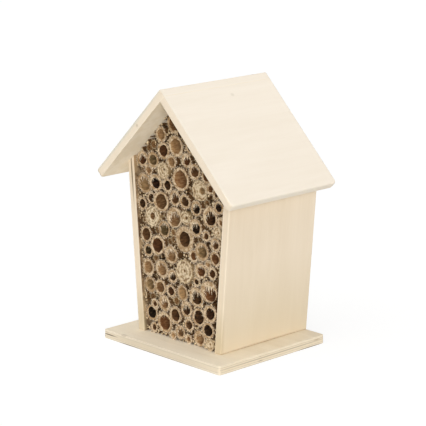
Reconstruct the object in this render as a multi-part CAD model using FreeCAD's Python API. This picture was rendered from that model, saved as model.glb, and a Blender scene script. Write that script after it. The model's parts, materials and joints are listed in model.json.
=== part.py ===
"""Bee hotel: a small plywood house with a steep gable roof, packed with hollow canes that open to the front.

Frame: +Z up, the open front faces -Y, origin on the underside at the middle of the base board. Millimetres.
"""
import FreeCAD, Part
import math
import os

# Plywood sheet that every board is cut from
board_thickness = 5.5

# Base board
base_width = 102.0
base_depth = 89.4
base_corner_radius = 1.5

# Side walls: they lean outward as they rise
wall_foot_span = 72.4
wall_lean_degrees = 4.6
wall_depth = 73.9

# Roof: two boards that meet at the ridge; the left one laps the end of the right one, which is shorter
roof_pitch_degrees = 45.0
ridge_height = 162.0
roof_board_length = 81.5
right_roof_board_length = 79.0
roof_depth = 88.4
roof_corner_radius = 2.5

# Panel pins that hold the base to the walls and the two roof boards to each other
pin_diameter = 1.2
pin_head_diameter = 2.2
pin_head_height = 0.6
pin_head_sink = 0.2
pin_bite = 9.0
pin_clearance = 0.03
pins_per_joint = 3
pin_end_margin = 11.0

# Canes: they lie front to back, rear ends against the back panel
cane_recess = 0.7
cane_recess_spread = 1.6
cane_clearance = 0.3
reed_wall = 1.05
bamboo_wall = 1.4
thick_wall = 3.0
pith_bore = 2.4
twig_thinnest = 3.3
twig_thickest = 4.6
twig_search_step = 1.0
recess_steps = 7
recess_stride = 3

# How stems are pushed clear of each other, and thinned where the room is too tight for them
settling_rounds = 1500
settling_tolerance = 0.05
thinning_percent = 2
neighbour_reach = 4.0
neighbour_refresh = 20

# Kinds of stem
REED, BAMBOO, THICK, PITH = "reed", "bamboo", "thick", "pith"

# Squared sheet that the stems are drawn on. Its rows run from the base board to the top of the room, and its
# columns from wall to wall at the eaves. A stem this many squares wide or wider is a node of its own. Thinner
# reeds make two groups, one below the parting row and one above it.
sheet_row_count = 149
sheet_column_count = 79
own_node_squares = 9
group_parting_row = 60

# Stems in squares of the sheet: distance from the middle, height over the base board, outer diameter, kind.
# They are settled into the space between the boards before they are built.
stems = [
    (-5.5, 2.6, 5.0, REED), (6.8, 2.8, 5.5, REED), (-24.5, 3.2, 6.0, REED), (25.2, 3.6, 7.0, PITH),
    (15.9, 5.3, 10.0, BAMBOO), (0.2, 6.0, 8.0, REED), (-14.5, 8.7, 13.0, BAMBOO), (24.6, 11.7, 9.6, REED),
    (7.3, 11.9, 7.8, REED), (-26.6, 12.4, 9.7, REED), (-4.1, 15.7, 10.9, BAMBOO), (15.4, 18.5, 11.1, REED),
    (-22.5, 18.8, 5.5, REED), (4.5, 21.0, 10.0, BAMBOO), (-13.5, 21.4, 9.7, BAMBOO),
    (25.3, 22.7, 10.3, BAMBOO), (-27.8, 30.0, 10.0, BAMBOO), (-8.3, 30.0, 7.9, REED),
    (1.2, 30.3, 9.6, REED), (-17.3, 30.4, 9.8, BAMBOO), (13.4, 30.7, 12.0, BAMBOO),
    (25.3, 36.5, 13.5, BAMBOO), (-7.0, 39.5, 8.0, REED), (13.0, 39.8, 5.5, REED),
    (-29.1, 41.0, 10.7, BAMBOO), (-17.6, 41.8, 11.3, BAMBOO), (3.8, 44.6, 14.5, PITH),
    (17.2, 47.5, 9.5, BAMBOO), (28.2, 48.2, 7.3, REED), (-28.6, 51.7, 7.7, REED), (23.0, 52.5, 5.0, REED),
    (-8.0, 52.7, 11.3, BAMBOO), (10.9, 55.3, 7.3, REED), (-19.6, 56.6, 12.0, BAMBOO),
    (29.5, 57.3, 9.0, REED), (19.5, 60.0, 11.3, BAMBOO), (-30.5, 61.5, 10.0, REED),
    (2.9, 64.2, 16.0, THICK), (30.2, 66.4, 8.0, REED), (-14.8, 67.3, 10.5, REED), (22.7, 70.0, 6.3, REED),
    (31.2, 73.4, 6.5, PITH), (14.0, 73.6, 10.8, BAMBOO), (-25.2, 74.3, 12.3, PITH),
    (-6.5, 76.7, 12.8, BAMBOO), (4.2, 77.7, 7.8, PITH), (34.0, 80.0, 5.5, REED), (-34.5, 81.4, 7.8, REED),
    (25.4, 81.7, 12.2, BAMBOO), (-17.7, 83.7, 12.6, BAMBOO), (13.8, 85.1, 9.0, REED),
    (-27.0, 85.5, 7.5, REED), (4.4, 87.8, 8.5, REED), (-5.6, 88.7, 9.3, REED), (33.2, 89.1, 7.7, REED),
    (-33.2, 92.6, 12.0, REED), (-21.2, 95.0, 10.3, BAMBOO), (-12.0, 95.2, 8.2, REED),
    (16.1, 96.2, 12.5, PITH), (30.5, 96.5, 5.5, REED), (24.6, 98.3, 6.3, REED), (0.9, 100.6, 14.4, BAMBOO),
    (-28.8, 101.3, 6.8, REED), (-14.2, 103.0, 9.4, PITH), (34.0, 103.0, 8.5, REED),
    (22.0, 106.0, 8.5, REED), (12.8, 107.2, 9.0, REED), (-33.7, 107.7, 9.5, REED),
    (-23.6, 108.0, 9.6, BAMBOO), (-7.7, 110.0, 7.7, REED), (28.0, 111.5, 9.0, REED),
    (5.5, 112.9, 8.5, REED), (-16.0, 115.3, 10.2, BAMBOO), (18.5, 116.0, 10.0, BAMBOO),
    (-4.2, 119.8, 12.7, BAMBOO), (9.5, 122.0, 9.0, REED), (-17.5, 125.4, 9.0, REED),
    (18.0, 125.5, 8.0, REED), (5.5, 131.5, 10.0, BAMBOO), (-6.0, 133.2, 12.0, BAMBOO),
    (1.5, 141.0, 7.0, REED),
]

# Sizes that follow from the ones above
pitch = math.radians(roof_pitch_degrees)
lean = math.tan(math.radians(wall_lean_degrees))
back_y = base_depth / 2
wall_front_y = back_y - wall_depth
roof_front_y = back_y - roof_depth
panel_front_y = back_y - board_thickness
wall_width_level = board_thickness / math.cos(math.radians(wall_lean_degrees))
inner_foot_half = wall_foot_span / 2 - wall_width_level
ceiling_ridge = ridge_height - board_thickness / math.cos(pitch)
pin_reach = board_thickness + pin_bite
up = FreeCAD.Vector(0, 0, 1)
right_slope = FreeCAD.Vector(math.cos(pitch), 0, -math.sin(pitch))
parallel_tolerance = 0.001


def half_span(height, foot_half):
    """Distance from the middle to a leaning wall face at a height over the ground."""
    return foot_half + lean * (height - board_thickness)


def eaves_corner(foot_half):
    """Where a leaning wall face meets the underside of the roof, as distance from the middle and height."""
    drop = math.tan(pitch)
    span = half_span(ceiling_ridge, foot_half) / (1 + lean * drop)
    return span, ceiling_ridge - span * drop


def prism(outline, front, rear):
    """Solid with an outline of (across, up) points, drawn from one depth to another."""
    corners = [FreeCAD.Vector(x, front, z) for x, z in outline]
    face = Part.Face(Part.makePolygon(corners + corners[:1]))
    return face.extrude(FreeCAD.Vector(0, rear - front, 0))


def edges_along(shape, direction):
    """Straight edges of a shape that run along a direction."""
    found = []
    for edge in shape.Edges:
        run = edge.Vertexes[-1].Point - edge.Vertexes[0].Point
        if run.cross(direction).Length < parallel_tolerance < run.Length:
            found.append(edge)
    return found


def rod(centre, direction, diameter, length):
    """Round bar from a point along a direction."""
    return Part.makeCylinder(diameter / 2, length, centre, direction)


def pin_solid(head_point, direction, growth=0.0):
    """Panel pin sunk a little below the face it is driven through; growth makes the hole for it."""
    start = head_point + direction * (0 if growth else pin_head_sink)
    head_length = pin_head_height + (pin_head_sink if growth else 0)
    length = pin_reach + growth if growth else pin_reach - pin_head_sink
    head = rod(start, direction, pin_head_diameter + 2 * growth, head_length)
    shank = rod(start, direction, pin_diameter + 2 * growth, length)
    return head.fuse(shank).removeSplitter()


def spread(first, last, count):
    """Evenly spaced places from first to last."""
    return [first + (last - first) * i / (count - 1) for i in range(count)]


def base_pin_places():
    """Points on the underside of the base below the middles of the wall feet and of the back panel."""
    foot_middle = wall_foot_span / 2 - wall_width_level / 2
    rows = spread(wall_front_y + pin_end_margin, back_y - pin_end_margin, pins_per_joint)
    places = [FreeCAD.Vector(side * foot_middle, y, 0) for side in (-1, 1) for y in rows]
    panel_middle = back_y - board_thickness / 2
    across = inner_foot_half - pin_end_margin
    return places + [FreeCAD.Vector(x, panel_middle, 0) for x in spread(-across, across, pins_per_joint)]


def ridge_pin_places():
    """Points on the outside of the left roof board, over the middle of the right board's end."""
    across_board = FreeCAD.Vector(-math.cos(pitch), 0, -math.sin(pitch))
    ridge = FreeCAD.Vector(0, 0, ridge_height) + across_board * (board_thickness / 2 / math.sin(2 * pitch))
    rows = spread(roof_front_y + pin_end_margin, back_y - pin_end_margin, pins_per_joint)
    return [ridge + FreeCAD.Vector(0, y, 0) for y in rows]


def drilled(board, places, direction):
    """Board with a clear hole for each pin."""
    for place in places:
        board = board.cut(pin_solid(place, direction, pin_clearance))
    return board


def on_side(point, side):
    """A point given for the right side, turned to the side asked for."""
    return side * point[0], point[1]


def base_board():
    slab = Part.makeBox(
        base_width, base_depth, board_thickness, FreeCAD.Vector(-base_width / 2, -base_depth / 2, 0)
    )
    slab = slab.makeFillet(base_corner_radius, edges_along(slab, up))
    return drilled(slab, base_pin_places(), up)


def side_wall(side):
    """Leaning wall whose top is bevelled to the roof; side is -1 on the left and 1 on the right."""
    outer_foot = wall_foot_span / 2
    outline = [
        (side * outer_foot, board_thickness),
        on_side(eaves_corner(outer_foot), side),
        on_side(eaves_corner(inner_foot_half), side),
        (side * inner_foot_half, board_thickness),
    ]
    return drilled(prism(outline, wall_front_y, back_y), base_pin_places(), up)


def back_panel():
    """Gable-shaped panel that closes the rear between the walls, under the roof."""
    corner = eaves_corner(inner_foot_half)
    outline = [
        (-inner_foot_half, board_thickness),
        (inner_foot_half, board_thickness),
        corner,
        (0, ceiling_ridge),
        on_side(corner, -1),
    ]
    return drilled(prism(outline, panel_front_y, back_y), base_pin_places(), up)


def roof_slab(side, start, length):
    """Board lying on one slope, from a distance down the slope, with rounded corners at the eaves."""
    slope = FreeCAD.Vector(side * math.cos(pitch), 0, -math.sin(pitch))
    normal = FreeCAD.Vector(side * math.sin(pitch), 0, math.cos(pitch))
    ridge = FreeCAD.Vector(0, 0, ridge_height)
    inner = ridge - normal * board_thickness
    corners = [ridge + slope * start, ridge + slope * length, inner + slope * length, inner + slope * start]
    slab = prism([(c.x, c.z) for c in corners], roof_front_y, back_y)
    low_end = corners[1].dot(slope) - roof_corner_radius
    eaves = [edge for edge in edges_along(slab, normal) if edge.CenterOfMass.dot(slope) > low_end]
    return slab.makeFillet(roof_corner_radius, eaves)


def roof_board_left():
    """Board that runs up to the ridge, trimmed flush with the outside of the right slope."""
    slab = roof_slab(-1, -board_thickness, roof_board_length)
    reach = roof_board_length
    beyond = [
        (-reach * math.cos(pitch), ridge_height + reach * math.sin(pitch)),
        (reach * math.cos(pitch), ridge_height - reach * math.sin(pitch)),
        (reach * math.cos(pitch), ridge_height + reach),
    ]
    return drilled(slab.cut(prism(beyond, roof_front_y, back_y)), ridge_pin_places(), right_slope)


def roof_board_right():
    """Board that butts against the inside of the left one."""
    lap = board_thickness / math.sin(2 * pitch)
    slab = roof_slab(1, -board_thickness, right_roof_board_length + lap)
    reach = right_roof_board_length
    foot = -reach * math.cos(pitch)
    beyond = [
        (foot, ceiling_ridge - reach * math.sin(pitch)),
        (-foot, ceiling_ridge + reach * math.sin(pitch)),
        (foot, ceiling_ridge + reach),
    ]
    return drilled(slab.cut(prism(beyond, roof_front_y, back_y)), ridge_pin_places(), right_slope)


def room_at(x, z):
    """Distances from a point to the floor and the nearer wall and roof board, with the way in from each."""
    wall_slant = math.hypot(1, lean)
    side = 1 if x > 0 else -1
    wall = (half_span(z, inner_foot_half) - abs(x)) / wall_slant
    roof = (ceiling_ridge - z) * math.cos(pitch) - abs(x) * math.sin(pitch)
    floor = z - board_thickness
    return [
        (floor, 0.0, 1.0),
        (wall, -side / wall_slant, lean / wall_slant),
        (roof, -side * math.sin(pitch), -math.cos(pitch)),
    ]


def push_from_boards(place, radius):
    """Moves one stem clear of the boards and says how far it still reached into them."""
    worst = 0.0
    for distance, way_x, way_z in room_at(place[0], place[1]):
        lack = radius + cane_clearance - distance
        if lack > 0:
            worst = max(worst, lack)
            place[0] += way_x * lack
            place[1] += way_z * lack
    return worst


def push_apart(places, radii, i, j):
    """Moves two stems apart, the wider one less, and says how far they overlapped."""
    across = places[j][0] - places[i][0]
    rise = places[j][1] - places[i][1]
    reach = radii[i] + radii[j] + cane_clearance
    distance = math.hypot(across, rise)
    lack = reach - distance
    if lack <= 0:
        return 0.0
    share = radii[j] ** 2 / (radii[i] ** 2 + radii[j] ** 2)
    step_x = across / distance * lack
    step_z = rise / distance * lack
    places[i][0] -= step_x * share
    places[i][1] -= step_z * share
    places[j][0] += step_x * (1 - share)
    places[j][1] += step_z * (1 - share)
    return lack


def neighbours(places, radii):
    """Pairs of stems that are near enough to touch soon."""
    pairs = []
    for i, place in enumerate(places):
        for j in range(i + 1, len(places)):
            if math.dist(place, places[j]) < radii[i] + radii[j] + neighbour_reach:
                pairs.append((i, j))
    return pairs


def settle(places, radii):
    """Pushes stems apart and off the boards until they are clear, and gives how far each still overlaps."""
    lacks = []
    pairs = []
    for turn in range(settling_rounds):
        if turn % neighbour_refresh == 0:
            pairs = neighbours(places, radii)
        lacks = [0.0] * len(places)
        for i, j in pairs:
            lack = push_apart(places, radii, i, j)
            lacks[i] = max(lacks[i], lack)
            lacks[j] = max(lacks[j], lack)
        for i, place in enumerate(places):
            lacks[i] = max(lacks[i], push_from_boards(place, radii[i]))
        if max(lacks) < settling_tolerance:
            break
    return lacks


def sheet_square():
    """Width and height of a square when the sheet is laid over the room behind the open front."""
    width = 2 * eaves_corner(inner_foot_half)[0] / sheet_column_count
    height = (ceiling_ridge - board_thickness) / sheet_row_count
    return width, height


def settled_stems():
    """Stems laid out to fill the room, each as place across, height, outer diameter and kind."""
    width, height = sheet_square()
    thickness = math.sqrt(width * height)
    places = [[x * width, z * height + board_thickness] for x, z, outer, kind in stems]
    radii = [outer * thickness / 2 for x, z, outer, kind in stems]
    while max(settle(places, radii)) >= settling_tolerance:
        radii = [radius * (1 - thinning_percent / 100) for radius in radii]
    return [(x, z, 2 * radius, stem[3]) for (x, z), radius, stem in zip(places, radii, stems)]


def filling_twigs(around):
    """Thin twigs in the gaps that are left, the widest gap first."""
    top = int(ceiling_ridge / twig_search_step)
    side = int(half_span(ceiling_ridge, inner_foot_half) / twig_search_step)
    free = {}
    for column in range(-side, side + 1):
        for row in range(top):
            x = column * twig_search_step
            z = row * twig_search_step
            room = min(distance for distance, way_x, way_z in room_at(x, z))
            for stem_x, stem_z, outer, kind in around:
                if room < twig_thinnest / 2 + cane_clearance:
                    break
                room = min(room, math.hypot(x - stem_x, z - stem_z) - outer / 2)
            if room >= twig_thinnest / 2 + cane_clearance:
                free[(x, z)] = room
    twigs = []
    while free:
        place = max(free, key=lambda key: (free[key], key))
        outer = min(twig_thickest, 2 * (free[place] - cane_clearance))
        twigs.append((place[0], place[1], outer))
        for key in list(free):
            free[key] = min(free[key], math.dist(key, place) - outer / 2)
            if free[key] < twig_thinnest / 2 + cane_clearance:
                del free[key]
    return twigs


def bore_of(outer, kind):
    """Diameter of the hollow in a stem."""
    walls = {REED: reed_wall, BAMBOO: bamboo_wall, THICK: thick_wall}
    return pith_bore if kind == PITH else outer - 2 * walls[kind]


def recess_of(order):
    """How far a stem's front end lies behind the walls' front edges; it varies from stem to stem."""
    return cane_recess + cane_recess_spread * (order * recess_stride % recess_steps) / (recess_steps - 1)


def stem_solid(x, z, outer, bore, order):
    """Stem from its front end to the back panel, with its hollow right through."""
    backward = FreeCAD.Vector(0, 1, 0)
    front = FreeCAD.Vector(x, wall_front_y + recess_of(order), z)
    length = panel_front_y - front.y
    solid = rod(front, backward, outer, length)
    return solid.cut(rod(front, backward, bore, length)) if bore else solid


def write(name, solids):
    """Writes one node, made of one solid or of a group of like solids, if there are any."""
    if solids:
        shape = solids[0] if len(solids) == 1 else Part.makeCompound(solids)
        shape.exportStep(os.path.join("parts", name + ".step"))


def write_stems():
    """Writes wide stems one by one, thin ones as groups, and the twigs that fill the gaps."""
    placed = settled_stems()
    wide = {"cane": [], "pith_stem": []}
    groups = {"thin_reeds_lower": [], "thin_reeds_upper": [], "thin_pith_stems": []}
    for order, (x, z, outer, kind) in enumerate(placed):
        solid = stem_solid(x, z, outer, bore_of(outer, kind), order)
        _, row, squares, _ = stems[order]
        if squares >= own_node_squares:
            wide["pith_stem" if kind == PITH else "cane"].append(solid)
        elif kind == PITH:
            groups["thin_pith_stems"].append(solid)
        else:
            groups["thin_reeds_lower" if row < group_parting_row else "thin_reeds_upper"].append(solid)
    for family, solids in wide.items():
        for number, solid in enumerate(solids, 1):
            write(f"{family}_{number:02d}", [solid])
    for name, solids in groups.items():
        write(name, solids)
    twigs = filling_twigs(placed)
    write("filling_twigs", [stem_solid(x, z, outer, 0, order) for order, (x, z, outer) in enumerate(twigs)])
    print(len(placed), "stems and", len(twigs), "twigs")


def main():
    os.makedirs("parts", exist_ok=True)
    write("base_board", [base_board()])
    write("side_wall_left", [side_wall(-1)])
    write("side_wall_right", [side_wall(1)])
    write("back_panel", [back_panel()])
    write("roof_board_left", [roof_board_left()])
    write("roof_board_right", [roof_board_right()])
    write("base_pins", [pin_solid(place, up) for place in base_pin_places()])
    write("ridge_pins", [pin_solid(place, right_slope) for place in ridge_pin_places()])
    write_stems()


main()
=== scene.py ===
import json
import math
import random
from functools import partial

import bmesh
import bpy
from bpy.props import FloatProperty, FloatVectorProperty, IntProperty, PointerProperty
from mathutils import Matrix, Vector
from mathutils.geometry import convex_hull_2d

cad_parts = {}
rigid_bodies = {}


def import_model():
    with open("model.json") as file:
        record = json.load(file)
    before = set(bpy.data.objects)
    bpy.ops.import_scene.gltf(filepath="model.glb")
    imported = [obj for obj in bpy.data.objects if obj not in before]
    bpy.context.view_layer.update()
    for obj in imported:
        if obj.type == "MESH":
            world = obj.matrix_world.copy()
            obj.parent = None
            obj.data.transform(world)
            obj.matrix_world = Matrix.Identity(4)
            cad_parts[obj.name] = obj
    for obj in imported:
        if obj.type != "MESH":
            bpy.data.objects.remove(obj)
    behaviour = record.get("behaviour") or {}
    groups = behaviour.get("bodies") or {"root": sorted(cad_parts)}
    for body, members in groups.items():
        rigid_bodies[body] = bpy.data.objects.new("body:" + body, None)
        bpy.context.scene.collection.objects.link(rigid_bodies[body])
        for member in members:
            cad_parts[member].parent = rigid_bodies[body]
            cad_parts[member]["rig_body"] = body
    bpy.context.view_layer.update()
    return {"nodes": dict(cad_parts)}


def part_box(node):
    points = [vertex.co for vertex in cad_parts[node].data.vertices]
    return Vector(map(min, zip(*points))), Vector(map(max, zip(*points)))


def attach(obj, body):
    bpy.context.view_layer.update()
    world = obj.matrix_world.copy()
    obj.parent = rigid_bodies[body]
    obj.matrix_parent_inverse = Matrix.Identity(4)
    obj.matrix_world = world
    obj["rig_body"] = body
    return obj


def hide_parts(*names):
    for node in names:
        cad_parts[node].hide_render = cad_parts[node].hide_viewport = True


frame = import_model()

bl_info = {
    "name": "Bee hotel",
    "version": (1, 0, 0),
    "blender": (4, 5, 0),
    "location": "View3D > Sidebar > Bee hotel",
    "description": "Dresses a plywood bee hotel with layered boards, saw-cut canes, pith stems, twigs and pins",
    "category": "Object",
}

MM = 0.001
NODES = frame["nodes"]
# Vertices this near to each other are one
WELD_REACH = 0.001 * MM
# Surfaces of a stem, which its faces carry as the attribute "zone"
BARK, END_GRAIN, LINING, FIBRE = range(4)
# Kinds of node, some of them with a setting
MATH, VECTOR_MATH, RANGE, MIX = "ShaderNodeMath", "ShaderNodeVectorMath", "ShaderNodeMapRange", "ShaderNodeMix"
PLUS, MINUS, TIMES, TIMES_PLUS, LARGER, UNSIGNED, COSINE, SINE = (
    (MATH, {"operation": name})
    for name in ("ADD", "SUBTRACT", "MULTIPLY", "MULTIPLY_ADD", "MAXIMUM", "ABSOLUTE", "COSINE", "SINE"))
V_PLUS, V_MINUS, V_DIVIDED, V_SCALED, V_DOT, V_LENGTH = (
    (VECTOR_MATH, {"operation": name})
    for name in ("ADD", "SUBTRACT", "DIVIDE", "SCALE", "DOT_PRODUCT", "LENGTH"))
BLEND = (MIX, {"data_type": "RGBA"})
NOISE, CELLS, MAPPING, BUMP = "ShaderNodeTexNoise", "ShaderNodeTexVoronoi", "ShaderNodeMapping", "ShaderNodeBump"
NOISE_4D = (NOISE, {"noise_dimensions": "4D"})
PLACE, MARK, XYZ = "ShaderNodeTexCoord", "ShaderNodeAttribute", "ShaderNodeCombineXYZ"
SHADER, OUTPUT = "ShaderNodeBsdfPrincipled", "ShaderNodeOutputMaterial"
CHANCE, COMPARE = "FunctionNodeRandomValue", "FunctionNodeCompare"
READ, STORE = "GeometryNodeInputNamedAttribute", "GeometryNodeStoreNamedAttribute"
MOVE, DRESS, REALIZE = "GeometryNodeSetPosition", "GeometryNodeSetMaterial", "GeometryNodeRealizeInstances"


def colour(code):
    """Linear RGBA of an sRGB hex value."""
    shares = [int(code[i:i + 2], 16) / 255 for i in (0, 2, 4)]
    linear = [s / 12.92 if s <= 0.04045 else ((s + 0.055) / 1.055) ** 2.4 for s in shares]
    return (*linear, 1.0)


def shaded(base, *factors):
    """A colour times a factor for each channel, or times one factor."""
    return [min(1.0, c * f) for c, f in zip(base[:3], factors * 3)] + [1.0]


def add(tree, kind, *values, **settings):
    """Adds a node with its settings. values are for its sockets in order, or for the sockets that one dictionary
    names; each is a plain value, or a node or output to link from."""
    kind, presets = kind if isinstance(kind, tuple) else (kind, {})
    node = tree.nodes.new(kind)
    for name, value in {**presets, **settings}.items():
        setattr(node, name, value)
    inputs = values[0] if values and isinstance(values[0], dict) else dict(enumerate(values))
    for key, value in inputs.items():
        if isinstance(value, bpy.types.Node):
            value = next(socket for socket in value.outputs if socket.enabled)
        if isinstance(value, bpy.types.NodeSocket):
            tree.links.new(value, node.inputs[key])
        else:
            node.inputs[key].default_value = value
    return node


def new_material(name):
    """Empty node material, and the function that adds nodes to it."""
    material = bpy.data.materials.get(name)
    if material:
        bpy.data.materials.remove(material)
    material = bpy.data.materials.new(name)
    material.use_nodes = True
    material.node_tree.nodes.clear()
    return material, partial(add, material.node_tree)


def laid_over(node, surface, tint, value, start, full, most=1.0, blend="MIX"):
    """Lays a colour over a surface, from none of it where value is at start to most of it where value is at full."""
    share = node(RANGE, {"Value": value, "From Min": start, "From Max": full, "To Max": most})
    return node(BLEND, {0: share, 6: surface, 7: tint}, blend_type=blend)


# Looks of single hollow stems, found by their place on the front: across and over the base board in millimetres,
# tone of the lining from 0 (black) to 1 (straw), share of the lip torn into fibres, and for some how far the bore
# lies off the middle, as shares of the wall to the right and upward.
CANE_LOOKS = (
    (-5.5, 2.6, 0.8, 0.2), (6.8, 2.8, 0.62, 0.4), (-24.5, 3.2, 0.3, 0.2), (15.9, 5.3, 0.7, 0.5, 0.2, -0.2),
    (0.2, 6, 0.5, 0.6), (-14.5, 8.7, 0.45, 0.3), (24.6, 11.7, 0.06, 0.1), (7.3, 11.9, 0.3, 0.2),
    (-26.6, 12.4, 0.0, 0.0), (-4.1, 15.7, 0.28, 0.0), (15.4, 18.5, 0.16, 0.2), (-22.5, 18.8, 0.3, 0.2),
    (4.5, 21, 0.12, 0.9), (-13.5, 21.4, 0.58, 0.9), (25.3, 22.7, 0.12, 0.2), (-27.8, 30, 0.62, 0.1),
    (-8.3, 30, 0.2, 0.3), (1.2, 30.3, 0.84, 0.0), (-17.3, 30.4, 0.55, 0.0), (13.4, 30.7, 0.18, 0.8, 0.2, -0.2),
    (25.3, 36.5, 0.42, 1.0, 0.5, -0.5), (-7, 39.5, 0.15, 1.0), (13, 39.8, 0.1, 0.0), (-29.1, 41, 0.7, 0.1),
    (-17.6, 41.8, 0.7, 0.4), (17.2, 47.5, 0.4, 0.6, 0.3, 0), (28.2, 48.2, 0.25, 0.2), (-28.6, 51.7, 0.15, 0.2),
    (23, 52.5, 0.8, 0.2), (-8, 52.7, 0.66, 0.9), (10.9, 55.3, 0.4, 0.2), (-19.6, 56.6, 0.25, 0.1),
    (29.5, 57.3, 0.42, 0.1), (19.5, 60, 0.62, 0.5), (-30.5, 61.5, 0.34, 0.0), (2.9, 64.2, 0.26, 0.0),
    (30.2, 66.4, 0.35, 0.7), (-14.8, 67.3, 0.4, 0.7), (22.7, 70, 0.3, 0.2), (14, 73.6, 0.02, 1.0),
    (-6.5, 76.7, 0.62, 0.9, 0, -0.5), (34, 80, 0.6, 0.4), (-34.5, 81.4, 0.14, 0.0),
    (25.4, 81.7, 0.16, 0.8, 0.3, -0.3), (-17.7, 83.7, 0.46, 0.0), (13.8, 85.1, 0.02, 0.7), (-27, 85.5, 0.15, 0.1),
    (4.4, 87.8, 0.24, 0.3), (-5.6, 88.7, 0.32, 0.8), (33.2, 89.1, 0.03, 0.3), (-33.2, 92.6, 0.74, 0.6),
    (-21.2, 95, 0.03, 0.4), (-12, 95.2, 0.12, 0.0), (30.5, 96.5, 0.3, 0.4), (24.6, 98.3, 0.45, 0.5),
    (0.9, 100.6, 0.6, 0.0), (-28.8, 101.3, 0.64, 0.1), (22, 106, 0.4, 0.1), (12.8, 107.2, 0.36, 0.6),
    (-33.7, 107.7, 0.3, 1.0), (-23.6, 108, 0.5, 0.1), (-7.7, 110, 0.66, 0.0), (5.5, 112.9, 0.34, 1.0),
    (-16, 115.3, 0.22, 0.0), (-4.2, 119.8, 0.72, 0.1), (-17.5, 125.4, 0.7, 0.0), (-6, 133.2, 0.55, 0.0),
)
# Places of the few stems whose lining is olive rather than red-brown
OLIVE_BORES = (
    (-14.8, 67.3), (-23.6, 108), (-33.2, 92.6), (-28.6, 51.7), (19.5, 60), (-27.8, 30), (1.2, 30.3), (-26.6, 12.4),
)
# Looks of single pith stems: across and over the base board, width of the hole, and how far it lies off the middle
# to the right and upward, all in millimetres, and the tone of the hole.
PITH_LOOKS = (
    (25.2, 3.6, 1.4, 0, 0, 0.8), (3.8, 44.6, 1.8, -0.3, 0.2, 0.65), (31.2, 73.4, 1.6, 0.3, -0.3, 0.8),
    (-25.2, 74.3, 4.4, 0, 0, 0.5), (4.2, 77.7, 2.2, 0.4, 0, 0.55), (16.1, 96.2, 4.6, 1.6, 0, 0.66),
    (-14.2, 103, 1.5, 0.7, 0.9, 0.3),
)
# A look holds for a stem within this many millimetres of its place
LOOK_REACH = 3.0

# Looks of the boards: strength of figure, core, glue lines and sawn ends, how much of the glue lines gapes, the side,
# tint and shade of an inside face painted in blotches (painted shade on the walls, painted light on the roof), and
# patches: middle and half size in millimetres along the grain, across it and through the board from its middle,
# strength and colour. The patches are stains, open gaps, marks and darker or lighter areas; painted contact shadow,
# painted shade and painted light among them are noted at each look.
PANEL_LOOK = {"figure": 0.7, "core": 0.5, "lines": 0.12, "gaps": 0.1, "ends": 0.4, "inside": None, "stains": ()}
BASE_LOOK = {
    **PANEL_LOOK, "lines": 0.3,
    "stains": (
        # Painted contact shadow: the second, fourth and seventh patches are dark lines along the foot of the front
        # and right edges, where the board meets the floor. The first darkens the front edge; the rest are open gaps
        # and marks in the plies.
        ((0, -44.7, 0), (70, 0.7, 6), 0.4, "B4A48C"), ((0, -44.7, -2.9), (70, 0.9, 0.8), 0.8, "5E5548"),
        ((51, 0, 0.2), (0.7, 70, 0.5), 0.45, "8A7A62"), ((51, 0, -2.9), (0.9, 70, 0.7), 0.5, "6E6454"),
        ((-46, -44, 0.2), (9, 3, 0.5), 0.9, "4A3524"), ((-33, -44, 2.4), (3.5, 2, 0.9), 0.4, "8C7B66"),
        ((-28, -44, -2.6), (10, 3, 0.5), 0.8, "5A4630"), ((51, 32, -2.5), (3, 14, 0.5), 0.8, "6A5640"),
        ((51, 38, 0.9), (2, 4, 0.5), 0.5, "A88A5C"),
    ),
}
WALL_LOOK = {**PANEL_LOOK, "figure": 0.45, "gaps": 0.0}
LEFT_WALL_LOOK = {
    # Painted shade: the inside face is painted darker brown in blotches, standing in for the shade among the stems
    **WALL_LOOK, "inside": (1, "B09470", "604830"),
    "stains": (((46, -36, 0.35), (26, 4, 0.8), 0.85, "5E4A30"), ((-54, -37, 0), (30, 3, 8), 0.6, "C4B490")),
}
RIGHT_WALL_LOOK = {
    # Painted shade: the inside face is painted darker brown in blotches, as on the left wall
    **WALL_LOOK, "inside": (-1, "B09470", "604830"),
    "stains": (
        # Painted shade: the first patch darkens the lower part of the wall towards its foot, and the third is a dark
        # line in the crease where the wall stands on the base. The second darkens the front edge towards its foot.
        ((-62, 0, 2.7), (62, 130, 9), 0.55, "DAC9A8"), ((-54, -37, 0), (30, 3, 8), 0.5, "C4B08A"),
        ((-55, 0, 2.75), (2.2, 60, 3), 0.6, "A88860"),
    ),
}
ROOF_LOOK = {
    # Painted light: the inside face under the roof is a yellower veneer drawn lighter than the outer face, in
    # blotches
    "figure": 0.28, "core": 0.08, "lines": 0.0, "gaps": 0.0, "ends": 1.0, "inside": (-1, "FCF0DA", "F6E8CE")}
LEFT_ROOF_LOOK = {
    **ROOF_LOOK,
    "stains": (
        ((-44.2, 0, 2.0), (1.5, 60, 1.7), 0.75, "DAD6C6"), ((-44.2, -9.6, -0.4), (2, 1.4, 1.4), 0.35, "9C9078")),
}
RIGHT_ROOF_LOOK = {
    **ROOF_LOOK,
    # Painted light: the first patch lightens the eave end of the board, which faces down into shade. The second is a
    # small mark.
    "stains": (((0, -41, 0), (80, 2, 8), 1.0, "FFF9EE"), ((6.8, 32.9, 2.75), (1.8, 1.5, 2), 0.2, "A89C7C")),
}


LengthProperty = partial(FloatProperty, unit="LENGTH")
ShareProperty = partial(FloatProperty, subtype="FACTOR")
AngleProperty = partial(FloatProperty, subtype="ANGLE")
ColourProperty = partial(FloatVectorProperty, size=4, subtype="COLOR")


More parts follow.
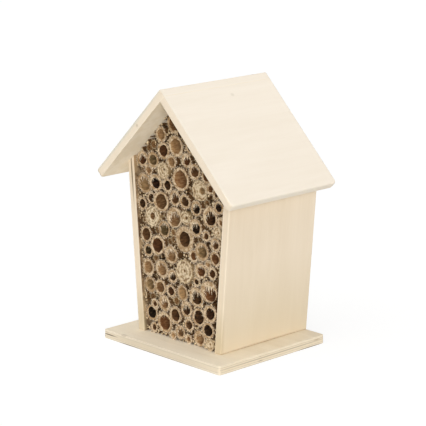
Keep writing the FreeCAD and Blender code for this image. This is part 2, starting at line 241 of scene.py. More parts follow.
class PlywoodSettings(bpy.types.PropertyGroup):
    """Boards cut from three-ply poplar sheet."""
    edge_rounding: LengthProperty(
        name="Edge rounding", description="Radius that sanding leaves on the board edges", default=0.5 * MM)
    veneer_thickness: LengthProperty(
        name="Veneer thickness", description="Thickness of the two outer plies", default=1.4 * MM)
    roof_colour: ColourProperty(name="Roof", description="Veneer of the roof boards", default=colour("F7EDDE"))
    wall_colour: ColourProperty(
        name="Walls", description="Veneer of the walls and the back panel", default=colour("F3E4CE"))
    base_colour: ColourProperty(name="Base", description="Veneer of the base board", default=colour("FAEFDA"))


class StemSettings(bpy.types.PropertyGroup):
    """Canes, pith stems and twigs sawn to length."""
    around: IntProperty(name="Faces around", description="Faces around a stem", default=48, min=12)
    ovality: ShareProperty(name="Ovality", description="How much flatter than round a stem may be", default=0.07)
    unevenness: ShareProperty(
        name="Unevenness", description="Waviness of the outline and the bore", default=0.07)
    raggedness: ShareProperty(
        name="Raggedness", description="How ragged the saw leaves the outer edge of a cut", default=0.07)
    slant: ShareProperty(
        name="Cut slant", description="How far a saw cut may lean, against the stem's width", default=0.06)
    saw_marks: LengthProperty(name="Saw marks", description="Roughness of the cut", default=0.12 * MM)
    rounding: LengthProperty(name="Lip rounding", description="Rounding of a cut edge", default=0.22 * MM)
    fibre_length: ShareProperty(
        name="Fibre length", description="Length of the torn fibres against the bore's width", default=0.42)
    burr_length: LengthProperty(
        name="Burr length", description="Length of the fibres that the saw leaves round a cut", default=2.2 * MM)
    straw_tries: IntProperty(
        name="Straw tries", description="Chance places tried for straws in the gaps", default=9000, min=0)
    straw_width: LengthProperty(name="Straw width", description="Thickest straw in the gaps", default=1.7 * MM)
    straw_seed: IntProperty(name="Straw seed", description="Seed of the straws' places", default=7)
    rim_colour: ColourProperty(name="Cut rim", description="Fresh saw cut of a cane", default=colour("D6C0A0"))
    # Painted shade: the cane skin is a darker brown than dry reed, so that the gaps between the stems read dark
    shaded_bark_colour: ColourProperty(name="Cane skin", description="Dry outer skin of a cane", default=colour("6C4C2B"))
    pith_colour: ColourProperty(name="Pith", description="Dry pith", default=colour("EAD8B8"))
    twig_colour: ColourProperty(
        name="Twig bark", description="Bark of the filling twigs", default=colour("5C452C"))


class StageSettings(bpy.types.PropertyGroup):
    """Camera and soft studio light."""
    turn: AngleProperty(
        name="Camera turn", description="Angle from the front towards the right side", default=math.radians(45.9))
    rise: AngleProperty(name="Camera rise", description="Angle above the horizon", default=math.radians(13.85))
    distance: LengthProperty(
        name="Camera distance", description="Distance from the origin along the line of sight", default=1.14375)
    lift: LengthProperty(
        name="Camera lift", description="Offset of the camera across the line of sight, upward", default=0.07828)
    aside: LengthProperty(
        name="Camera aside", description="Offset of the camera across the line of sight, to the right",
        default=-0.00035)
    focal_length: FloatProperty(
        name="Focal length", description="Lens in millimetres for a 36 mm wide sensor", default=157.06)
    sky: FloatProperty(name="Sky", description="Light of the studio tent", default=0.42)
    key: FloatProperty(name="Key lamp", description="Light of the low soft lamp beside the camera", default=2.0)
    top: FloatProperty(name="Top lamp", description="Light of the soft lamp overhead", default=0.95)


# Grain of the veneer: repeats to the millimetre along the grain, across it and through the board, and the noise.
# First growth figure 9 mm apart, drawn out along the grain, then fibres 0.5 mm wide and 25 mm long, then pores,
# dashes 0.3 mm wide and 3 mm long, drawn a little wider than real ones so that they show.
VENEER_GRAIN = (
    ((0.012, 0.11, 0.11), {"Detail": 4.0, "Distortion": 0.6}), ((0.04, 2.0, 2.0), {"Detail": 3.0, "Roughness": 0.6}),
    ((0.33, 3.2, 3.2), {"Detail": 1.0}),
)
CORE_EDGE = 0.06
GLUE_WANDER = 0.6
# Half width of a glue line where it is closed and where it gapes, in millimetres, a few times the real one so that
# it shows, and how dark an open gap is
GLUE_HALF_WIDTHS = (0.25, 0.45)
OPEN_GAP_SHARE = 0.9
GLUE_COLOUR = "5A4028"
END_SHADE = (0.93, 0.89, 0.83, 1.0)
# Depth under the inside face, in millimetres, over which the inside's painted shade (walls) and painted light (roof)
# fade
INSIDE_PAINT_FADE = (0.4, 0.1)


def plywood_material(name, veneer, half_thickness, look):
    """Three-ply poplar: sanded rotary-cut veneer, which shows faint long figure, over a core laid crosswise, which
    shows at the edges as a band of end grain between two thin glue lines with a few open gaps."""
    plywood = bpy.context.scene.beehotel_plywood
    material, node = new_material(name)
    board = node(MARK, attribute_name="board").outputs["Vector"]
    through = node("ShaderNodeSeparateXYZ", {0: board}).outputs["Z"]
    figure, fibres, pores = (
        node(NOISE, {"Vector": node(MAPPING, {"Vector": board, "Scale": repeats}), "Scale": 1.0, **noise})
        for repeats, noise in VENEER_GRAIN)
    figured = look["figure"]
    darker = shaded(veneer, 0.90, 0.865, 0.80)
    surface = laid_over(node, shaded(veneer, 1.03), darker, figure, 0.32, 0.7, figured)
    surface = laid_over(node, surface, darker, fibres, 0.3, 0.75, 0.6 * figured)
    surface = laid_over(node, surface, shaded(veneer, 0.55), pores, 0.66, 0.78, 0.2 * figured)
    # Depth from the middle of the board, wandering in swells 11 mm long as the plies do
    wander = node(NOISE, {"Vector": board, "Scale": 0.09, "Detail": 2.0})
    depth = node(UNSIGNED, node(TIMES_PLUS, node(MINUS, wander, 0.5), GLUE_WANDER, through))
    # Core end grain, speckled at a third of a millimetre
    core_half = half_thickness - plywood.veneer_thickness / MM
    speckle = node(NOISE, {"Vector": board, "Scale": 3.0, "Detail": 2.0})
    core = laid_over(node, shaded(veneer, 0.95, 0.92, 0.87), shaded(veneer, 0.80, 0.74, 0.64), speckle, 0.4, 0.75)
    surface = laid_over(node, surface, core, depth, core_half + CORE_EDGE, core_half - CORE_EDGE, look["core"])
    # Glue lines, with gaps about 18 mm apart
    line_distance = node(UNSIGNED, node(MINUS, depth, core_half))
    gaps = node(NOISE, {"Vector": board, "Scale": 0.055, "Detail": 3.0, "Roughness": 0.65})
    gap_share = node(RANGE, {"Value": gaps, "From Min": 0.74 - look["gaps"], "From Max": 0.84 - look["gaps"]})
    line_width, line_strength = (
        node(RANGE, {"Value": gap_share, "To Min": closed, "To Max": gaping})
        for closed, gaping in (GLUE_HALF_WIDTHS, (look["lines"], OPEN_GAP_SHARE)))
    line_mask = node(RANGE, {"Value": line_distance, "From Min": line_width, "From Max": 0.0})
    line_share = node(TIMES, line_mask, line_strength)
    surface = node(BLEND, {0: line_share, 6: surface, 7: colour(GLUE_COLOUR)})
    # Edges sawn across the grain are a little darker and yellower than the sanded faces
    end = node(MARK, attribute_name="end").outputs["Fac"]
    surface = laid_over(node, surface, END_SHADE, end, 0.3, 0.7, look["ends"], "MULTIPLY")
    if look["inside"]:
        # The inside face, in blotches 6 mm wide, takes painted shade on the walls, a darker brown where the stems
        # shade it, and painted light on the roof, a yellower veneer drawn lighter
        side, tint, shade = look["inside"]
        blotches = node(NOISE, {"Vector": board, "Scale": 0.16, "Detail": 3.0})
        inside_light_and_shade = laid_over(node, colour(tint), colour(shade), blotches, 0.42, 0.58)
        start, full = (side * (half_thickness - under) for under in INSIDE_PAINT_FADE)
        surface = laid_over(node, surface, inside_light_and_shade, through, start, full)
    for middle, size, strength, tint in look["stains"]:
        # Each listed patch, whether stain, open gap, mark, painted contact shadow, painted shade or painted light: a
        # soft egg-shaped patch with a ragged edge
        reach = node(V_LENGTH, node(V_DIVIDED, node(V_MINUS, board, middle), size))
        ragged = node(TIMES_PLUS, fibres, 0.5, reach)
        surface = laid_over(node, surface, colour(tint), ragged, 1.25, 0.6, strength)
    sunk = node(MINUS, node(TIMES, fibres, pores), line_share)
    bump = node(BUMP, {"Height": sunk, "Strength": 0.18, "Distance": 0.12 * MM})
    rough = node(RANGE, {"Value": fibres, "To Min": 0.58, "To Max": 0.74})
    node(OUTPUT, {"Surface": node(SHADER, {
        "Base Color": surface, "Roughness": rough, "Normal": bump, "IOR": 1.45, "Specular IOR Level": 0.3})})
    return material


def bark_material(name, base, dark_factor, streak_length):
    """Dry skin of a stem: it grew, so it is smooth, a little waxy and streaked along its length, with brown weather
    stains."""
    material, node = new_material(name)
    place = node(PLACE).outputs["Object"]
    tint = node(MARK, attribute_name="tint").outputs["Fac"]
    # Streaks 0.9 mm wide, and stains 9 mm wide
    streaks = node(MAPPING, {"Vector": place, "Scale": (1 / (0.9 * MM), 1 / streak_length, 1 / (0.9 * MM))})
    streak = node(NOISE, {"Vector": streaks, "Scale": 1.0, "Detail": 3.0})
    stains = node(NOISE, {"Vector": place, "Scale": 1 / (9 * MM), "Detail": 3.0})
    share = node(RANGE, {"Value": node(TIMES, streak, stains), "From Min": 0.14, "From Max": 0.42})
    tinted = node(TIMES_PLUS, tint, 0.5, share, use_clamp=True)
    skin = node(BLEND, {0: tinted, 6: list(base), 7: shaded(base, dark_factor)})
    bump = node(BUMP, {"Height": streak, "Strength": 0.35, "Distance": 0.15 * MM})
    node(OUTPUT, {"Surface": node(SHADER, {"Base Color": skin, "Roughness": 0.5, "Normal": bump, "IOR": 1.47})})
    return material


def cut_material(name, base):
    """Saw-cut end of a cane: pale woody tissue with darker fibre bundles that crowd towards the skin, fine saw
    scratches and a brown outer line."""
    material, node = new_material(name)
    place = node(PLACE).outputs["Object"]
    across = node(MARK, attribute_name="across").outputs["Fac"]
    tint = node(MARK, attribute_name="tint").outputs["Fac"]
    brown = shaded(base, 0.40, 0.29, 0.20)
    # Blotches 2 mm wide
    blotches = node(NOISE, {"Vector": place, "Scale": 1 / (2.0 * MM), "Detail": 3.0})
    blotch = node(RANGE, {"Value": blotches, "From Min": 0.45, "From Max": 0.6})
    toned = node(TIMES_PLUS, tint, 0.45, blotch, use_clamp=True)
    woody = node(BLEND, {0: toned, 6: list(base), 7: shaded(base, 0.58, 0.48, 0.37)})
    # Fibre bundles drawn 1.3 mm apart, coarser than in most reeds, so that they show
    bundles = node(CELLS, {"Vector": place, "Scale": 1 / (1.3 * MM)})
    dotted = laid_over(node, woody, brown, bundles, 0.45, 0.15, 0.8)
    lined = laid_over(node, dotted, brown, across, 0.82, 1.0, 0.85)
    # Saw scratches 0.3 mm apart and 4 mm long
    scratches = node(MAPPING, {
        "Vector": place, "Rotation": (0, 0.5, 0), "Scale": (1 / (0.3 * MM), 0, 1 / (4 * MM))})
    scratch = node(NOISE, {"Vector": scratches, "Scale": 1.0, "Detail": 2.0})
    relief = node(TIMES_PLUS, bundles, 0.5, scratch)
    bump = node(BUMP, {"Height": relief, "Strength": 0.5, "Distance": 0.15 * MM})
    node(OUTPUT, {"Surface": node(SHADER, {
        "Base Color": lined, "Roughness": 0.78, "Normal": bump, "IOR": 1.45, "Specular IOR Level": 0.25})})
    return material


# Colours of a bore's lining: mouldered, red-brown, olive and straw
LINING_COLOURS = ("20140B", "7C4F2E", "6E5A3A", "C49F70")


def lining_material(name):
    """Inside of a cane: a dry papery skin left by the pith, smooth and streaked along the bore, from straw through
    brown to nearly black where it has mouldered."""
    material, node = new_material(name)
    place = node(PLACE).outputs["Object"]
    tone = node(MARK, attribute_name="tone").outputs["Fac"]
    tint = node(MARK, attribute_name="tint").outputs["Fac"]
    # Streaks 1 mm wide and 3 mm long
    streaks = node(MAPPING, {"Vector": place, "Scale": (1 / (1.0 * MM), 1 / (3 * MM), 1 / (1.0 * MM))})
    streak = node(NOISE, {"Vector": streaks, "Scale": 1.0, "Detail": 3.0})
    swing = node(RANGE, {"Value": streak, "From Min": 0.3, "From Max": 0.7, "To Min": -0.16, "To Max": 0.16})
    level = node(PLUS, tone, swing, use_clamp=True)
    black, red, olive, straw = (colour(code) for code in LINING_COLOURS)
    brown = node(BLEND, {0: tint, 6: red, 7: olive})
    surface = laid_over(node, black, brown, level, 0.0, 0.45)
    surface = laid_over(node, surface, straw, level, 0.45, 0.9)
    bump = node(BUMP, {"Height": streak, "Strength": 0.4, "Distance": 0.2 * MM})
    node(OUTPUT, {"Surface": node(SHADER, {
        "Base Color": surface, "Roughness": 0.7, "Normal": bump, "IOR": 1.45, "Specular IOR Level": 0.25})})
    return material


# Brown rings on the cut of a pith stem: place from the hole (0) to the skin (1), half width and strength
PITH_RINGS = ((0.68, 0.14, 0.9), (0.3, 0.13, 0.6))


def pith_material(name, base):
    """Sawn end of a pith-filled stem: a woody ring round soft dry foam that crumbles under the saw, pale and
    speckled, darker in rings, one of them where the two part, and round the small hole."""
    material, node = new_material(name)
    place = node(PLACE).outputs["Object"]
    across = node(MARK, attribute_name="across").outputs["Fac"]
    tint = node(MARK, attribute_name="tint").outputs["Fac"]
    brown = shaded(base, 0.45, 0.35, 0.24)
    # Crumbled spots about 1.6 mm wide
    crumbs = node(NOISE, {"Vector": place, "Scale": 1 / (1.6 * MM), "Detail": 3.0})
    surface = laid_over(node, list(base), brown, crumbs, 0.45, 0.62, 0.75)
    # The rings wander with swells about 3 mm wide, and are broken where the foam has not crumbled
    swells = node(NOISE, {"Vector": place, "Scale": 1 / (3.0 * MM), "Detail": 2.0})
    wander = node(RANGE, {"Value": swells, "To Min": -0.3, "To Max": 0.3})
    wandering = node(PLUS, across, wander)
    broken = node(RANGE, {"Value": crumbs, "From Min": 0.38, "From Max": 0.54, "To Min": 0.25})
    for share, width, strength in PITH_RINGS:
        ring_distance = node(UNSIGNED, node(MINUS, wandering, share))
        ring = node(RANGE, {"Value": ring_distance, "From Min": width, "From Max": 0.02, "To Max": strength})
        ring_share = node(TIMES, ring, broken)
        surface = node(BLEND, {0: ring_share, 6: surface, 7: colour("6B4C30")})
    surface = laid_over(node, surface, colour("6A4A2E"), across, 0.22, 0.0, 0.2)
    surface = laid_over(node, surface, brown, across, 0.92, 1.0, 0.55)
    surface = node(BLEND, {0: node(TIMES, tint, 0.3), 6: surface, 7: brown})
    # Foam cells drawn at 0.4 mm, several real ones wide, so that they show
    foam = node(CELLS, {"Vector": place, "Scale": 1 / (0.4 * MM)})
    bump = node(BUMP, {"Height": foam, "Strength": 0.6, "Distance": 0.2 * MM})
    node(OUTPUT, {"Surface": node(SHADER, {
        "Base Color": surface, "Roughness": 0.9, "Normal": bump, "IOR": 1.4, "Specular IOR Level": 0.15})})
    return material


def fibre_material(name, base, dark_factors):
    """Torn fibres: dry, pale and silky, browner in patches 0.8 mm wide."""
    material, node = new_material(name)
    place = node(PLACE).outputs["Object"]
    patches = node(NOISE, {"Vector": place, "Scale": 1 / (0.8 * MM), "Detail": 2.0})
    straw = laid_over(node, list(base), shaded(base, *dark_factors), patches, 0.42, 0.66)
    node(OUTPUT, {"Surface": node(SHADER, {
        "Base Color": straw, "Roughness": 0.65, "IOR": 1.45, "Sheen Weight": 0.2})})
    return material


def pin_material(name):
    """Bright drawn steel wire with a stamped head: metallic, with dull spots half a millimetre wide."""
    material, node = new_material(name)
    place = node(PLACE).outputs["Object"]
    spots = node(NOISE, {"Vector": place, "Scale": 1 / (0.5 * MM), "Detail": 3.0})
    rough = node(RANGE, {"Value": spots, "To Min": 0.25, "To Max": 0.55})
    bump = node(BUMP, {"Height": spots, "Strength": 0.2, "Distance": 0.05 * MM})
    node(OUTPUT, {"Surface": node(SHADER, {
        "Base Color": colour("B9B6B0"), "Metallic": 1.0, "Roughness": rough, "Normal": bump})})
    return material


def corners_of(node):
    """Vertices of a CAD node."""
    return [vertex.co.copy() for vertex in NODES[node].data.vertices]


def loose_pieces(node):
    """Vertices of each separate solid in a CAD node, ordered by height and then from left to right."""
    net = bmesh.new()
    net.from_mesh(NODES[node].data)
    bmesh.ops.remove_doubles(net, verts=net.verts, dist=WELD_REACH)
    waiting = set(net.verts)
    pieces = []
    while waiting:
        reached = [waiting.pop()]
        for vertex in reached:
            for edge in vertex.link_edges:
                other = edge.other_vert(vertex)
                if other in waiting:
                    waiting.remove(other)
                    reached.append(other)
        pieces.append([vertex.co.copy() for vertex in reached])
    net.free()
    return sorted(pieces, key=lambda points: tuple(round(min(p[k] for p in points), 5) for k in (2, 0)))


def meshed(name, net):
    """Mesh of a finished net, which is freed."""
    mesh = bpy.data.meshes.new(name)
    net.to_mesh(mesh)
    net.free()
    return mesh


def placed(name, data):
    """New object at the origin of the scene."""
    obj = bpy.data.objects.new(name, data)
    bpy.context.scene.collection.objects.link(obj)
    return obj


def finished(obj):
    """Plain mesh of an object with its modifiers done."""
    graph = bpy.context.evaluated_depsgraph_get()
    return bpy.data.meshes.new_from_object(obj.evaluated_get(graph), preserve_all_data_layers=True, depsgraph=graph)


def show(name, mesh, node):
    """Puts a finished mesh into the scene in place of a CAD node."""
    obj = placed(name, mesh)
    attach(obj, NODES[node]["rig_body"])
    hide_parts(node)
    return obj


def discard(obj):
    """Removes a helper object and its mesh."""
    mesh = obj.data
    bpy.data.objects.remove(obj)
    bpy.data.meshes.remove(mesh)


PIN_HEAD_REACH = 0.05 * MM
PIN_HOLE_DEPTH = 1.0 * MM
PIN_HOLE_SINK = 0.1 * MM
PIN_HOLE_CLEARANCE = 0.03 * MM
PIN_HOLE_SIDES = 24


def pin_holes(pin_node, inward):
    """Cutter with a short round bar over each pin head, so that the heads lie in open holes."""
    net = bmesh.new()
    turn = inward.to_track_quat("Z", "Y").to_matrix().to_4x4()
    for points in loose_pieces(pin_node):
        head = min(p.dot(inward) for p in points)
        rim = [p for p in points if p.dot(inward) < head + PIN_HEAD_REACH]
        middle = sum(rim, Vector()) / len(rim)
        radius = max((p - middle).length for p in rim) + PIN_HOLE_CLEARANCE
        bmesh.ops.create_cone(
            net, cap_ends=True, segments=PIN_HOLE_SIDES, radius1=radius, radius2=radius, depth=PIN_HOLE_DEPTH,
            matrix=Matrix.Translation(middle + inward * PIN_HOLE_SINK) @ turn)
    return placed("pin_holes", meshed("pin_holes", net))


SHARP_ANGLE = math.radians(35)
SHORTEST_EDGE = 0.05 * MM
EDGE_SEGMENTS = 3
SEAM_REACH = 0.1 * MM
FOOT_REACH = 0.1 * MM
# Rounding of the edges against the plywood's own setting
ROOF_SOFTNESS = 2.0
BASE_SOFTNESS = 0.5


def make_board(node, along, through, material, holes=None, softness=1.0, seam=None):
    """Board with rounded edges on the outline of a CAD board. along is the way the grain runs and through the way
    from face to face; the finished mesh carries each point's place on the board in millimetres. The edge through the
    point seam, where two boards lie flush, stays sharp."""
    plywood = bpy.context.scene.beehotel_plywood
    side = through.cross(along)
    points = corners_of(node)
    flat = [(p.dot(along), p.dot(side)) for p in points]
    low = min(p.dot(through) for p in points)
    high = max(p.dot(through) for p in points)
    kept = []
    for here in (flat[i] for i in convex_hull_2d(flat)):
        if not kept or math.dist(here, kept[-1]) > SHORTEST_EDGE:
            kept.append(here)
    net = bmesh.new()
    rows = [[net.verts.new(along * a + side * s + through * level) for a, s in kept] for level in (low, high)]
    count = len(kept)
    net.faces.new(rows[0])
    net.faces.new(rows[1])
    for i in range(count):
        net.faces.new((rows[0][i], rows[0][(i + 1) % count], rows[1][(i + 1) % count], rows[1][i]))
    bmesh.ops.recalc_face_normals(net, faces=net.faces)
    weights = net.edges.layers.float.new("bevel_weight_edge")
    for edge in net.edges:
        first, last = (vertex.co for vertex in edge.verts)
        flush = seam is not None and (seam - first).cross(last - first).length < SEAM_REACH * (last - first).length
        edge[weights] = float(edge.calc_face_angle() > SHARP_ANGLE and not flush)
    blank = placed(node + "_blank", meshed(node + "_blank", net))
    rounding = blank.modifiers.new("sanded edges", "BEVEL")
    rounding.width = plywood.edge_rounding * softness
    rounding.segments = EDGE_SEGMENTS
    rounding.limit_method = "WEIGHT"
    if holes:
        cut = blank.modifiers.new("pin holes", "BOOLEAN")
        cut.operation = "DIFFERENCE"
        cut.solver = "EXACT"
        cut.object = holes
    board = finished(blank)
    board.name = node + "_plywood"
    discard(blank)
    middle = [(min(f[k] for f in flat) + max(f[k] for f in flat)) / 2 for k in (0, 1)] + [(low + high) / 2]
    places = board.attributes.new("board", "FLOAT_VECTOR", "POINT")
    for vertex, place in zip(board.vertices, places.data):
        spots = (vertex.co.dot(along), vertex.co.dot(side), vertex.co.dot(through))
        place.vector = [(spot - centre) / MM for spot, centre in zip(spots, middle)]
    ends = board.attributes.new("end", "FLOAT", "FACE")
    ends.data.foreach_set("value", [abs(face.normal.dot(along)) for face in board.polygons])
    if "bevel_weight_edge" in board.attributes:
        board.attributes.remove(board.attributes["bevel_weight_edge"])
    board.materials.clear()
    board.materials.append(material)
    for face in board.polygons:
        face.material_index = 0
    return show(node + "_plywood", board, node)


def make_leaning_wall(node, material):
    """Side wall, whose foot and bevelled top lie at a slant to its faces, drawn from front to back."""
    points = corners_of(node)
    foot = [p for p in points if p.z < min(q.z for q in points) + FOOT_REACH]
    outside = max(foot, key=lambda p: abs(p.x))
    eaves = max(points, key=lambda p: abs(p.x))
    rise = Vector((eaves.x - outside.x, 0, eaves.z - outside.z)).normalized()
    depth = Vector((0, 1, 0))
    obj = make_board(node, rise, depth, material)
    across = depth.cross(rise)
    spots = [(v.co.dot(rise), v.co.y, v.co.dot(across)) for v in obj.data.vertices]
    middle = [(min(s[k] for s in spots) + max(s[k] for s in spots)) / 2 for k in range(3)]
    for spot, place in zip(spots, obj.data.attributes["board"].data):
        place.vector = [(s - m) / MM for s, m in zip(spot, middle)]


class BEEHOTEL_OT_base_board(bpy.types.Operator):
    """Base board with sanded edges and open pin holes below"""
    bl_idname = "beehotel.base_board"
    bl_label = "Base board"

    def execute(self, context):
        plywood = context.scene.beehotel_plywood
        up = Vector((0, 0, 1))
        low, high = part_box("base_board")
        half = (high.z - low.z) / 2 / MM
        material = plywood_material("poplar_plywood_base", plywood.base_colour, half, BASE_LOOK)
        holes = pin_holes("base_pins", up)
        make_board("base_board", Vector((1, 0, 0)), up, material, holes, BASE_SOFTNESS)
        discard(holes)
        return {"FINISHED"}


class BEEHOTEL_OT_walls(bpy.types.Operator):
    """Leaning side walls and the back panel between them"""
    bl_idname = "beehotel.walls"
    bl_label = "Walls and back panel"

    def execute(self, context):
        plywood = context.scene.beehotel_plywood
        low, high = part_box("back_panel")
        half = (high.y - low.y) / 2 / MM
        material = plywood_material("poplar_plywood_panel", plywood.wall_colour, half, PANEL_LOOK)
        make_board("back_panel", Vector((0, 0, 1)), Vector((0, 1, 0)), material)
        for name, look in (("side_wall_left", LEFT_WALL_LOOK), ("side_wall_right", RIGHT_WALL_LOOK)):
            make_leaning_wall(name, plywood_material("poplar_plywood_" + name, plywood.wall_colour, half, look))
        return {"FINISHED"}


class BEEHOTEL_OT_roof(bpy.types.Operator):
    """The two roof boards, the left one lapping the end of the right one"""
    bl_idname = "beehotel.roof"
    bl_label = "Roof boards"

    def execute(self, context):
        plywood = context.scene.beehotel_plywood
        seam = max(corners_of("roof_board_right"), key=lambda p: p.z)
        holes = pin_holes("ridge_pins", Vector((1, 0, -1)).normalized())
        for name, side, look, cutter in (
                ("roof_board_left", -1, LEFT_ROOF_LOOK, holes), ("roof_board_right", 1, RIGHT_ROOF_LOOK, None)):
            outward = Vector((side, 0, 1)).normalized()
            points = [p.dot(outward) for p in corners_of(name)]
            half = (max(points) - min(points)) / 2 / MM
            material = plywood_material("poplar_plywood_" + name, plywood.roof_colour, half, look)
            make_board(name, Vector((0, 1, 0)), outward, material, cutter, ROOF_SOFTNESS, seam)
        discard(holes)
        return {"FINISHED"}


class BEEHOTEL_OT_pins(bpy.types.Operator):
    """Steel panel pins under the base and at the ridge"""
    bl_idname = "beehotel.pins"
    bl_label = "Panel pins"

    def execute(self, context):
        steel = pin_material("bright_pin_steel")
        for node in ("base_pins", "ridge_pins"):
            NODES[node].data.materials.clear()
            NODES[node].data.materials.append(steel)
        return {"FINISHED"}


# Rows of the net that is wrapped round a stem, from the rear along the skin, over the cut and back along the bore.
# Each gives how far the row lies from bore (0) to skin (1), how far back along the stem, how far behind the cut and
# how far inward, in lip roundings, how deep in a growth ring's groove, how far sunk with the pith, and the surface
# that begins there. Rows along the skin are listed by how far back they lie and their groove, rows over the rim by
# place and sink, and rows along the bore by how far back they lie.
SKIN_BACKS = (
    (1.0, 0), (0.99, 0), (0.8, 0), (0.68, 0), (0.652, 1), (0.63, 0), (0.608, 0.7), (0.58, 0), (0.4, 0), (0.2, 0),
    (0.06, 0))
SKIN_LIP = ((1, 0, 1, 0, 0, 0, BARK), (1, 0, 0.3, -0.3, 0, 0, END_GRAIN), (1, 0, 0, -1, 0, 0, END_GRAIN))
HOLLOW_RIM = ((0.75, 0), (0.5, 0), (0.25, 0))
PITH_RIM = (
    (0.9, 0), (0.82, 0), (0.76, 0.1), (0.72, 0.9), (0.69, 1.0), (0.65, 0.55), (0.6, 0.4), (0.5, 0.3), (0.4, 0.3),
    (0.3, 0.35), (0.2, 0.5), (0.1, 0.8))
BORE_LIP = ((0, 0, 0, 1, 0, 1, END_GRAIN), (0, 0, 0.3, 0.3, 0, 1, END_GRAIN), (0, 0, 1, 0, 0, 1, LINING))
BORE_BACKS = (0.03, 0.09, 0.18, 0.34, 0.62, 0.99)
REAR_ROW = (0, 1.0, 0, 0, 0, 0, END_GRAIN)
ROW_VALUES = ("across", "back", "lift", "inset", "groove", "sink")
# Marked rows, by what they start with: the bore's lip, the row that torn fibres hang from, and the burr's rows
ROW_MARKS = {"lip": (0, 0), "root": (0, 0, 1, 0), "burr": (1, 0)}
NET_LABELS = (*ROW_VALUES, *ROW_MARKS, "front", "turn")


def stem_net(name, rim, around):
    """Closed net of quads, to be wrapped round a stem by its attributes."""
    rows = [
        *((1, back, 0, 0, groove, 0, BARK) for back, groove in SKIN_BACKS), *SKIN_LIP,
        *((across, 0, 0, 0, 0, sink, END_GRAIN) for across, sink in rim), *BORE_LIP,
        *((0, back, 0, 0, 0, 0, LINING) for back in BORE_BACKS), REAR_ROW,
    ]
    # A hollow stem has no pith that could sink
    if rim is HOLLOW_RIM:
        rows = [row[:5] + (0,) + row[6:] for row in rows]
    count = len(rows)
    faces = []
    for r in range(count):
        here, there = r * around, (r + 1) % count * around
        faces += [(here + a, here + (a + 1) % around, there + (a + 1) % around, there + a) for a in range(around)]
    mesh = bpy.data.meshes.new(name)
    mesh.from_pydata([(0, 0, 0)] * (count * around), [], faces)
    columns = {label: [row[column] for row in rows] for column, label in enumerate(ROW_VALUES)}
    columns.update({
        label: [float(row[:len(start)] == start) for row in rows] for label, start in ROW_MARKS.items()})
    columns["front"] = [float(row[1] == 0) for row in rows]
    points = {label: [value for value in column for a in range(around)] for label, column in columns.items()}
    points["turn"] = [a / around for row in rows for a in range(around)]
    for label in NET_LABELS:
        layer = mesh.attributes.new(label, "FLOAT", "POINT")
        layer.data.foreach_set("value", points[label])
    zones = mesh.attributes.new("zone", "INT", "FACE")
    zones.data.foreach_set("value", [row[6] for row in rows for a in range(around)])
    return mesh


STEM_TREE = "saw_cut_stem"
# Inputs by kind of socket. The materials are in the order of the zones.
STEM_INPUTS = {
    "Geometry": ("Geometry",),
    "Float": (
        "Outer diameter", "Bore diameter", "Length", "Ovality", "Unevenness", "Raggedness", "Saw marks",
        "Lip rounding", "Groove depth", "Groove shift", "Pith sink", "Torn share", "Fibre length", "Fibre width",
        "Burr length", "Tone", "Tint"),
    "Vector": ("Place", "Bore offset", "Cut slant"),
    "Int": ("Seed",),
    "Material": ("Skin", "Cut", "Lining", "Fibre"),
}
STRAW_INPUTS = {
    "Geometry": ("Geometry",), "Int": ("Sides", "Seed"), "Float": ("Fray",), "Material": ("Skin", "Cut")}
# Scale, on a stem of radius 1, and detail of the outline's waves, the rags of its cut edge, the bore's waves and the
# teeth of its torn lip
ROUND_NOISE = ((1.3, 2.0), (6.0, 2.0), (2.1, 2.0), (7.0, 1.0))
NOISE_SPAN = {"From Min": 0.3, "From Max": 0.7}
OUTLINE_MARGIN = 1.06
BORE_NARROWEST = 0.86
TEAR_WAY = (-0.42, 0.0, 0.91)
TEAR_ARC = {"From Min": -0.1, "From Max": 0.6}
TEETH = {"From Min": 0.42, "From Max": 0.72, "To Max": 0.42}
# Sizes of the saw's marks and of crumbled pith, and how unevenly the pith sinks
RASP_SIZE = 0.9 * MM
CRUMB_SIZE = 1.5 * MM
CRUMB_SINK = {"To Min": 0.2, "To Max": 1.8}
# Fibres: shortest against the longest, thickness against width, how they head and how far they stray
FIBRE_SHORTEST = 0.35
FIBRE_FLATNESS = 0.5
FIBRE_INWARD = -0.3
FIBRE_HANG = (0, 0.2, -0.8)
FIBRE_SCATTER = 0.22
BURR_LEAN = (0, -0.35, 0)
BURR_CHANCE = 0.55
BURR_WIDTH = 0.3
BURR_SCATTER = 0.8


def new_tree(name, inputs):
    """Geometry tree with its inputs, and the function that adds nodes to it."""
    tree = bpy.data.node_groups.new(name, "GeometryNodeTree")
    for kind, labels in inputs.items():
        for label in labels:
            tree.interface.new_socket(label, in_out="INPUT", socket_type="NodeSocket" + kind)
    tree.interface.new_socket("Geometry", in_out="OUTPUT", socket_type="NodeSocketGeometry")
    return tree, partial(add, tree)


def dress_zones(node, mesh, given, labels):
    """Sets the given material on the faces of each zone, and hands the mesh out of the tree."""
    zone = node(READ, {"Name": "zone"}, data_type="INT")
    for surface, label in enumerate(labels):
        here = node(COMPARE, {2: zone, 3: surface}, data_type="INT", operation="EQUAL")
        mesh = node(DRESS, {"Geometry": mesh, "Selection": here, "Material": given[label]})
    node("NodeGroupOutput", {"Geometry": mesh})


def worked(blank, tree, values):
    """Plain mesh of an object that a geometry tree has worked on."""
    sockets = {item.name: item.identifier for item in tree.interface.items_tree if item.in_out == "INPUT"}
    work = blank.modifiers.new(tree.name, "NODES")
    work.node_group = tree
    for label, value in values.items():
        work[sockets[label]] = value
    return finished(blank)


